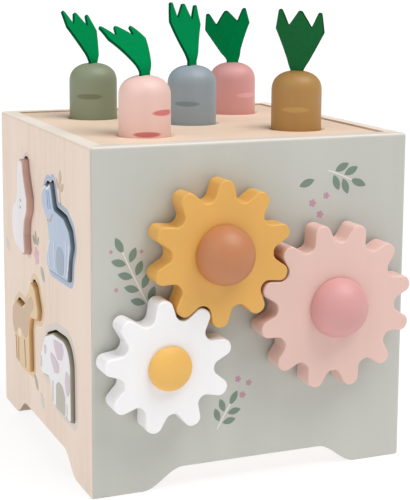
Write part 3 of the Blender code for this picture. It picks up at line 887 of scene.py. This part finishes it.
def carrot_profile(stand):
    """From the crown down the dome, the straight side and the taper to the rounded tip."""
    shoulder = stand - CARROT_DOME
    dome = []
    for turn in quarter(DOME_STEPS):
        dome.append((CARROT_RADIUS * sin(turn) ** CARROT_FULLNESS,
                     shoulder + CARROT_DOME * cos(turn) ** CARROT_FULLNESS))
    dome[0] = (0, stand)
    dome[-1] = (CARROT_RADIUS, shoulder)
    body = [(CARROT_RADIUS, shoulder / 2), (CARROT_RADIUS, 0),
            (HOLE_RADIUS - CARROT_SLIP, -MOUTH_DEPTH)]
    tip = [(CARROT_TIP * cos(turn), CARROT_TIP * (1 - sin(turn)) - CARROT_DEPTH)
           for turn in quarter(TIP_STEPS)]
    tip[-1] = (0, -CARROT_DEPTH)
    return dome + body + tip


def leaf_axes(facing):
    """Across the leaf, up, and the way that its face looks."""
    turn = radians(facing)
    across = Vector((cos(turn), -sin(turn), 0))
    out = Vector((-sin(turn), -cos(turn), 0))
    return across, Vector((0, 0, 1)), out


def cut_slot(item, carrot, place):
    """Cut the leaf's slot into a carrot's crown."""
    across, up, out = leaf_axes(carrot["facing"])
    form = bmesh.new()
    bmesh.ops.create_cube(form, size=1.0)
    size = (LEAF_BASE + SLOT_PLAY, LEAF_THICKNESS + SLOT_PLAY, 2 * LEAF_TAB + SLOT_SPARE)
    bmesh.ops.scale(form, vec=size, verts=form.verts)
    form.transform(Matrix.Translation(place) @ Matrix((across, -out, up)).transposed().to_4x4())
    tool = put_object("slot", mesh_of(form, "slot"))
    cut = item.modifiers.new("slot", "BOOLEAN")
    cut.operation = "DIFFERENCE"
    cut.object = tool
    cut.solver = "EXACT"
    carved = baked(item)
    item.modifiers.clear()
    item.data = carved
    bpy.data.objects.remove(tool)
    carved.set_sharp_from_angle(angle=SHARP_SHADING)


def add_carrot(name, carrot):
    x, y = carrot_place(carrot["spot"])
    base = station(x, y, LID_TOP)
    paint = carrot_paint(name, CARROT_COLOURS[name], CARROT_MARKS[name], base)
    item = add_piece(name + "_carrot", turned(carrot_profile(carrot["stand"])), base,
                     FACING_UP, paint, "pull_" + name,
                     ["carrot_" + name], weigh=False)
    cut_slot(item, carrot, base + Vector((0, 0, carrot["stand"])))


# Leaves

def leaf_outline():
    """A three-pointed crown on a narrow stalk, its foot in the carrot's slot."""
    half = LEAF_WIDTH / 2
    notch = LEAF_HEIGHT - LEAF_NOTCH
    outer = LEAF_POINT * half
    valley = LEAF_VALLEY * half
    right = [(LEAF_BASE / 2, -LEAF_TAB), (LEAF_BASE / 2, 0), (half, LEAF_SHOULDER),
             (outer, LEAF_HEIGHT), (outer - LEAF_TIP, LEAF_HEIGHT),
             (valley, notch, LEAF_NOTCH_ROUND), (LEAF_TIP / 2, LEAF_HEIGHT)]
    left = [(-across, *rest) for across, *rest in reversed(right)]
    return rounded(right + left, LEAF_ROUND)


def leaf_lean(carrot, along):
    """The leaf's angle from upright at a distance along it."""
    if along <= 0:
        return 0.0
    rooted = min(1.0, along / LEAF_ROOT)
    return radians(carrot["lean"] * rooted + carrot["curl"] * along / LEAF_HEIGHT)


def leaf_spine(carrot, along):
    """How far out and up the leaf's middle has come at a distance along it."""
    if along <= 0:
        return 0.0, along
    out = up = 0.0
    steps = 24
    for step in range(steps):
        lean = leaf_lean(carrot, along * (step + 0.5) / steps)
        out += sin(lean) * along / steps
        up += cos(lean) * along / steps
    return out, up


def bend_leaf(form, carrot):
    across, up, out = leaf_axes(carrot["facing"])
    for vert in form.verts:
        side, along, face = vert.co
        tilt = radians(carrot["tilt"]) * max(0.0, min(1.0, along / LEAF_ROOT))
        swing = side * cos(tilt) + along * sin(tilt)
        along = along * cos(tilt) - side * sin(tilt)
        drift, rise = leaf_spine(carrot, along)
        lean = leaf_lean(carrot, along)
        vert.co = (across * swing + out * (drift + face * cos(lean))
                   + up * (rise - face * sin(lean)))


def add_leaf(name, carrot):
    """A crown cut from felt, set in its slot and bent."""
    form = slab(leaf_outline(), -LEAF_THICKNESS / 2, LEAF_THICKNESS / 2)
    area = max(face.calc_area() for face in form.faces)
    soften_rims(form, -LEAF_THICKNESS / 2, LEAF_THICKNESS / 2, LEAF_EDGE, 2)
    # Marks the felt's cut sides for painted shade
    shaded_cut_edge = form.verts.layers.float.new("shaded_cut_edge")
    for vert in form.verts:
        vert[shaded_cut_edge] = 1.0 if abs(vert.co.z) < LEAF_THICKNESS / 2 - MERGE else 0.0
    for row in range(1, LEAF_ROWS):
        split(form, (0, LEAF_HEIGHT * row / LEAF_ROWS, 0), (0, 1, 0))
    bend_leaf(form, carrot)
    x, y = carrot_place(carrot["spot"])
    place = station(x, y, LID_TOP + carrot["stand"] + carrot["lift"])
    # The mustard carrot's leaf takes the darker felt, as painted shade
    cloth = SHADED_GREEN_FELT if name == "mustard" else GREEN_FELT
    item = add_piece(name + "_leaf", form, place, FACING_UP, cloth, "pull_" + name,
                     ["leaf_" + name])


# Gears

def axle_places():
    """Each gear's axle, from the left face and the floor: driven ones at their mesh distance."""
    drive = GEARS["yellow"]["teeth"]
    places = {}
    for name, gear in GEARS.items():
        x, z = DRIVE_X, DRIVE_Z
        if gear["bearing"] is not None:
            centres = MODULE * (drive + gear["teeth"]) / 2
            x += centres * cos(radians(gear["bearing"]))
            z += centres * sin(radians(gear["bearing"]))
        places[name] = (x, z)
    return places


def gear_phase(gear):
    """The angle of a tooth that puts the gear in mesh with the one that drives it."""
    if gear["bearing"] is None:
        return radians(DRIVE_PHASE)
    drive_pitch = 2 * pi / GEARS["yellow"]["teeth"]
    bearing = radians(gear["bearing"])
    ahead = (radians(DRIVE_PHASE) - bearing) / drive_pitch
    return bearing + pi - (ahead + 0.5) * 2 * pi / gear["teeth"]


def gear_outline(gear):
    teeth = gear["teeth"]
    pitch = teeth * MODULE / 2
    tip = pitch + ADDENDUM
    root = pitch - DEDENDUM
    corners = []
    for tooth in range(teeth):
        turn = Matrix.Rotation(gear_phase(gear) + 2 * pi * tooth / teeth, 2)
        for radius, half in ((root, -TOOTH_ROOT / 2), (tip, -TOOTH_TIP / 2),
                             (tip, TOOTH_TIP / 2), (root, TOOTH_ROOT / 2)):
            corner = turn @ Vector((sqrt(radius ** 2 - half ** 2), half))
            corners.append((corner.x, corner.y))
    return rounded(corners, TOOTH_ROUND)


def knob_profile(knob):
    """From the crown over the dome to the rim and in to the axle."""
    rise = knob["height"] - KNOB_RIM
    dome = [(knob["radius"] * sin(turn), KNOB_RIM + rise * cos(turn))
            for turn in quarter(KNOB_STEPS)]
    dome[0] = (0, knob["height"])
    return dome + [(knob["radius"], KNOB_EDGE), (knob["radius"] - KNOB_EDGE, 0), (0, 0)]


def add_gear(name, gear):
    x, z = axle_places()[name]
    form = slab(gear_outline(gear), 0, GEAR_THICKNESS)
    soften_rims(form, 0, GEAR_THICKNESS, GEAR_EDGE, 4)
    back = -GEAR_STANDOFF
    add_piece(name + "_gear", form, station(x, back, z), FACING_FRONT, GEAR_PAINTS[name],
              "wheel_" + name, ["gear_" + name])
    seat = back - GEAR_THICKNESS - KNOB_GAP
    add_piece(name + "_knob", turned(knob_profile(KNOBS[name])), station(x, seat, z),
              FACING_FRONT, KNOB_PAINTS[name], "cube",
              ["knob_" + name], weigh=False)


# Prints, in drawing units

def lens(x, y, length, width, turn):
    """A leaf with two pointed ends, its foot at x, y and its tip turned from the first axis."""
    steps = 8
    along = [length * step / steps for step in range(steps + 1)]
    upper = [(step, width / 2 * sin(pi * step / length) ** 0.8) for step in along[1:-1]]
    lower = [(step, -half) for step, half in reversed(upper)]
    return moved([(0, 0)] + upper + [(length, 0)] + lower, x, y, turn)


def blossom(x, y, radius, petals=5):
    """A small flower with rounded petals."""
    count = 12 * petals
    notch = 0.38
    outline = []
    for step in range(count):
        angle = 2 * pi * step / count
        reach = radius * (1 - notch + notch * abs(cos(petals * angle / 2)))
        outline.append((x + reach * cos(angle), y + reach * sin(angle)))
    return outline


def stalk(start, bend, end, width):
    """A line of even width along a curve with one bend."""
    steps = 14
    upper = []
    lower = []
    for step in range(steps + 1):
        share = step / steps
        first = Vector(start).lerp(Vector(bend), share)
        second = Vector(bend).lerp(Vector(end), share)
        middle = first.lerp(second, share)
        side = (second - first).normalized() * width / 2
        upper.append((middle.x - side.y, middle.y + side.x))
        lower.append((middle.x + side.y, middle.y - side.x))
    return upper + lower[::-1]


def moved(outline, x, y, turn=0):
    """An outline turned by an angle in degrees and then moved."""
    spin = Matrix.Rotation(radians(turn), 2)
    return [tuple(spin @ Vector(point) + Vector((x, y))) for point in outline]


def add_print(name, outlines, place, axes, material, body, layer=1):
    """Thin paint in flat shapes on a face; a higher layer lies on the lower ones."""
    form = bmesh.new()
    outward = -1 if axes is FACING_SIDE else 1
    for outline in outlines:
        points = [(x * DRAWING_UNIT, y * DRAWING_UNIT) for x, y in outline]
        merge_in(form, slab(points, 0, outward * PRINT * layer))
    return add_piece(name, form, place, axes, material, body, weigh=False)


INKS = paints(
    "ink_", leaf=(118, 138, 122), stalk=(240, 232, 222), blossom=(192, 148, 163),
    grey=(172, 178, 168), moss=(172, 168, 152), mist=(212, 206, 194), tan=(206, 178, 148),
    rose=(222, 172, 184), white=(240, 240, 244), slate=(150, 168, 186), blue=(146, 170, 206),
    mauve=(214, 196, 206), khaki=(186, 180, 164), saddle=(206, 172, 136),
    line=(196, 152, 100), cream=(240, 220, 196))


def twig(x, y, turn, pairs, pitch, length, width):
    """Leaves in pairs up a straight twig with one at its end, and the twig's line."""
    splay = 48
    offset = 1.2
    leaves = []
    for pair in range(pairs):
        for side in (-1, 1):
            foot = pitch * (pair + 0.7)
            leaves.append(lens(foot, offset * side, length, width, splay * side))
    leaves.append(lens(pitch * (pairs + 0.5), 0, length * 1.1, width, 0))
    line = stalk((0, 0), (pitch * pairs / 2, 0.6), (pitch * (pairs + 0.6), 0), 0.7)
    return ([moved(leaf, x, y, turn) for leaf in leaves], moved(line, x, y, turn))


def add_wall_print(name, outlines, axes, ink, layer=1):
    add_print(name, outlines, station(0, 0, 0), axes, INKS[ink], "cube", layer)


def add_front_prints():
    """Twigs and blossoms round the gears."""
    left, left_line = twig(36, 107, 116, 4, 8.6, 9.2, 4.4)
    top, top_line = twig(147, 182, -22, 2, 6.6, 10.0, 4.6)
    low, low_line = twig(77, 32, 60, 2, 6.4, 8.6, 4.0)
    extra = [lens(138, 177, 10.5, 4.6, 200)]
    add_wall_print("front_leaves", left + top + low + extra, FACING_FRONT, "leaf")
    add_wall_print("front_stalks", [left_line, top_line, low_line], FACING_FRONT, "stalk",
                   2)
    blossoms = [blossom(*spot) for spot in ((137, 163, 2.5), (146, 167, 2.2), (142, 156, 2.4),
                                            (90, 61, 2.1), (97, 58, 2.0), (93, 51, 2.2),
                                            (15, 121, 1.4), (30, 142, 1.3), (12, 143, 1.2))]
    add_wall_print("front_blossoms", blossoms, FACING_FRONT, "blossom")


def add_side_prints():
    """Small marks between the animals."""
    twigs = [lens(58, 173, 9, 5.6, 95), lens(60, 170, 8.5, 4.4, 40),
             lens(57, 169, 8.0, 4.4, 140), stalk((57, 161), (60, 168), (58, 174), 1.6)]
    add_wall_print("side_twigs", twigs, FACING_SIDE, "tan")
    leaves = [lens(113, 126, 9.5, 4.4, 80), lens(111, 126, 8, 3.8, 125),
              lens(115, 126, 8, 3.8, 40), lens(94, 106, 12.5, 6.0, 42),
              lens(112, 31, 12.5, 6.0, 42)]
    add_wall_print("side_leaves", leaves, FACING_SIDE, "moss")
    pale = [lens(98, 23, 12.5, 6.0, 42), lens(182, 109, 12.0, 6.0, 42)]
    add_wall_print("side_pale_leaves", pale, FACING_SIDE, "mist")
    add_wall_print("side_blossoms", [blossom(112, 119, 6.0)], FACING_SIDE, "rose")


# Animal blocks

BLOCK_SIDES = paints("paint_block_", goose=(205, 165, 150), donkey=(95, 115, 128),
                     horse=(205, 160, 104), cow=(150, 144, 122))
BLOCK_FACES = paints("print_", goose=(240, 234, 236), donkey=(178, 194, 218),
                     horse=(228, 196, 150), cow=(244, 240, 242))
HALO_PAINTS = paints("print_halo_", goose=(232, 204, 204), donkey=(163, 182, 212),
                     horse=(230, 198, 150), cow=(220, 211, 206))


def leg_gap(centre, low, high, width):
    """The space between two legs, rounded above."""
    half = width / 2
    top = half * 0.8
    return rounded([(centre - half, low), (centre + half, low), (centre + top, high),
                    (centre - top, high)], half * 0.7)


BLOCK_PICTURES = {
    "goose": [
        ("marks", "grey", [lens(-5.5, 3, 4, 1.8, 10), lens(-5, -1.5, 4, 1.8, 10)]),
    ],
    "donkey": [
        ("belly", "slate", [leg_gap(-4, -26.5, -10, 18)]),
        ("mane", "blue", [stalk((23, 20), (23, 14), (20, 9), 1.5),
                          stalk((19, 20), (18, 14), (15, 10), 1.2)]),
        ("lines", "white", [
            stalk((17, -9), (24, -16), (18, -25), 0.9), stalk((9, -8), (9, -16), (6.5, -25), 0.7),
            stalk((-16, -4), (-17, -12), (-14, -24), 0.7),
            stalk((-23, -5), (-23, -14), (-18, -25), 0.9),
            stalk((33, 17), (31, 21), (26, 22), 1.0), stalk((24, 21), (21, 21), (17, 24), 1.0)]),
        ("collar", "tan", [stalk((22, 2), (16, 1), (12, 7), 1.2)]),
    ],
    "horse": [
        ("coat", "saddle", [rounded([
            (34, 4), (26, 8.5), (12, 7.5), (5, 9), (-4, 16), (-12, 21), (-18, 19), (-17, 13),
            (-10, 9), (-6, 2), (-3, -7), (3, -11), (8, -9), (11, -6), (21, -7), (25, -12),
            (30, -13), (35, -7)], 3)]),
        ("flank", "cream", [rounded([
            (21, -7.5), (12, -6.5), (11, -11), (15, -13), (21, -12)], 2)]),
        ("legs", "line", [
            stalk((27, -14), (26, -22), (25, -30), 0.8),
            stalk((20, -14), (21, -22), (20, -30.5), 0.8),
            stalk((5, -12), (4, -20), (2, -30), 0.8)]),
    ],
    "cow": [
        ("belly", "khaki", [
            rounded([(2, -24), (1, -9), (-5, -6), (-13, -7), (-18, -12), (-18, -24)], 3),
            stalk((8, -9), (8.5, -16), (8, -22), 1.6),
            stalk((-21.5, -15), (-22, -20), (-21, -24), 1.3)]),
        ("patches", "mauve", [
            rounded([(6, 17.5), (-12, 19), (-16, 15), (-12, 9), (-3, 7), (4, 13)], 3),
            rounded([(14, 8), (3, 7), (-6, 4), (-5, -1), (4, -3), (11, 3)], 3),
            rounded([(28, 9), (23, 9), (22, 4), (26, 3)], 2),
            rounded([(-20, 6), (-28, 3), (-28, -6), (-22, -12), (-18, -3)], 3),
            rounded([(35, 0), (33, -1), (32, -8), (36, -7)], 1.5)]),
    ],
}


def add_block(name, block):
    y, z = block["centre"]
    shape = block_outline(block)
    form = slab(shape, 0, BLOCK_THICKNESS)
    soften_rims(form, 0, BLOCK_THICKNESS, BLOCK_EDGE, 3)
    place = station(-block["stand"], y, z - BLOCK_DROP)
    body = "piece_" + name
    add_piece(name + "_block", form, place, FACING_SIDE, BLOCK_SIDES[name], body,
              ["block_" + name])
    face = slab(grown(shape, -BLOCK_EDGE), -PRINT, 0)
    add_piece(name + "_face", face, place, FACING_SIDE, BLOCK_FACES[name], body)
    for layer, (part, ink, outlines) in enumerate(BLOCK_PICTURES[name], start=2):
        add_print(name + "_" + part, outlines, place, FACING_SIDE, INKS[ink], body, layer)
    hole = grown(shape, BLOCK_CLEARANCE + HOLE_EDGE)
    halo = plate([grown(shape, BLOCK_CLEARANCE + HALO[name]), hole], -PRINT, 0)
    add_piece(name + "_halo", halo, station(0, y, z), FACING_SIDE, HALO_PAINTS[name], "cube")


# Stage

def add_floor():
    form = bmesh.new()
    bmesh.ops.create_grid(form, x_segments=1, y_segments=1, size=FLOOR_REACH)
    floor = put_object("floor", mesh_of(form, "floor"))
    material, tree, shader, _ = new_material("floor_white", 0.9, specular=0.1)
    feed(tree, shader, {"Base Color": FLOOR_COLOUR, "Emission Color": (1.0, 1.0, 1.0, 1.0),
                        "Emission Strength": FLOOR_GLOW})
    floor.data.materials.append(material)


def add_sun(name, bearing, height, strength, spread):
    """A wide soft light: bearing, height over the floor and spread in degrees."""
    lamp = bpy.data.lights.new(name, "SUN")
    lamp.energy = strength
    lamp.angle = radians(spread)
    item = put_object(name, lamp)
    turn = radians(bearing)
    rise = radians(height)
    source = Vector((sin(turn) * cos(rise), -cos(turn) * cos(rise), sin(rise)))
    item.rotation_euler = source.to_track_quat("Z", "Y").to_euler()


def add_lights():
    world = bpy.data.worlds.new("studio")
    world.use_nodes = True
    tree = world.node_tree
    direction = tree.nodes.new("ShaderNodeTexCoord").outputs["Generated"]
    rise = put(tree, "SeparateXYZ", {0: direction}).outputs["Z"]
    sky = blend(tree, fade(tree, rise, *HORIZON), WALL_LIGHT, SKY_LIGHT)
    tree.links.new(sky, tree.nodes["Background"].inputs["Color"])
    bpy.context.scene.world = world
    for name, sun in SUNS.items():
        add_sun(name, **sun)


def add_camera():
    camera = bpy.data.cameras.new("camera")
    camera.sensor_fit = "VERTICAL"
    camera.sensor_height = SENSOR
    camera.lens = FOCAL_PIXELS * SENSOR / PICTURE_HEIGHT
    camera.shift_x = (PICTURE_WIDTH / 2 - AIM_COLUMN) / PICTURE_HEIGHT
    camera.shift_y = (AIM_ROW - PICTURE_HEIGHT / 2) / PICTURE_HEIGHT
    camera.clip_start = 0.01
    camera.clip_end = 200
    item = put_object("camera", camera)
    aim = (Matrix.Rotation(-radians(CAMERA_YAW), 4, "Z")
           @ Matrix.Rotation(pi / 2 - radians(CAMERA_PITCH), 4, "X")
           @ Matrix.Rotation(radians(CAMERA_ROLL), 4, "Z"))
    item.matrix_world = Matrix.Translation(station(CAMERA_X, CAMERA_Y, CAMERA_Z)) @ aim
    bpy.context.scene.camera = item
    bpy.context.scene.view_settings.view_transform = "Standard"


def main():
    add_camera()
    add_lights()
    add_floor()
    add_box()
    add_lid()
    for name, carrot in CARROTS.items():
        add_carrot(name, carrot)
        add_leaf(name, carrot)
    for name, gear in GEARS.items():
        add_gear(name, gear)
    add_front_prints()
    add_side_prints()
    for name, block in BLOCKS.items():
        add_block(name, block)


main()
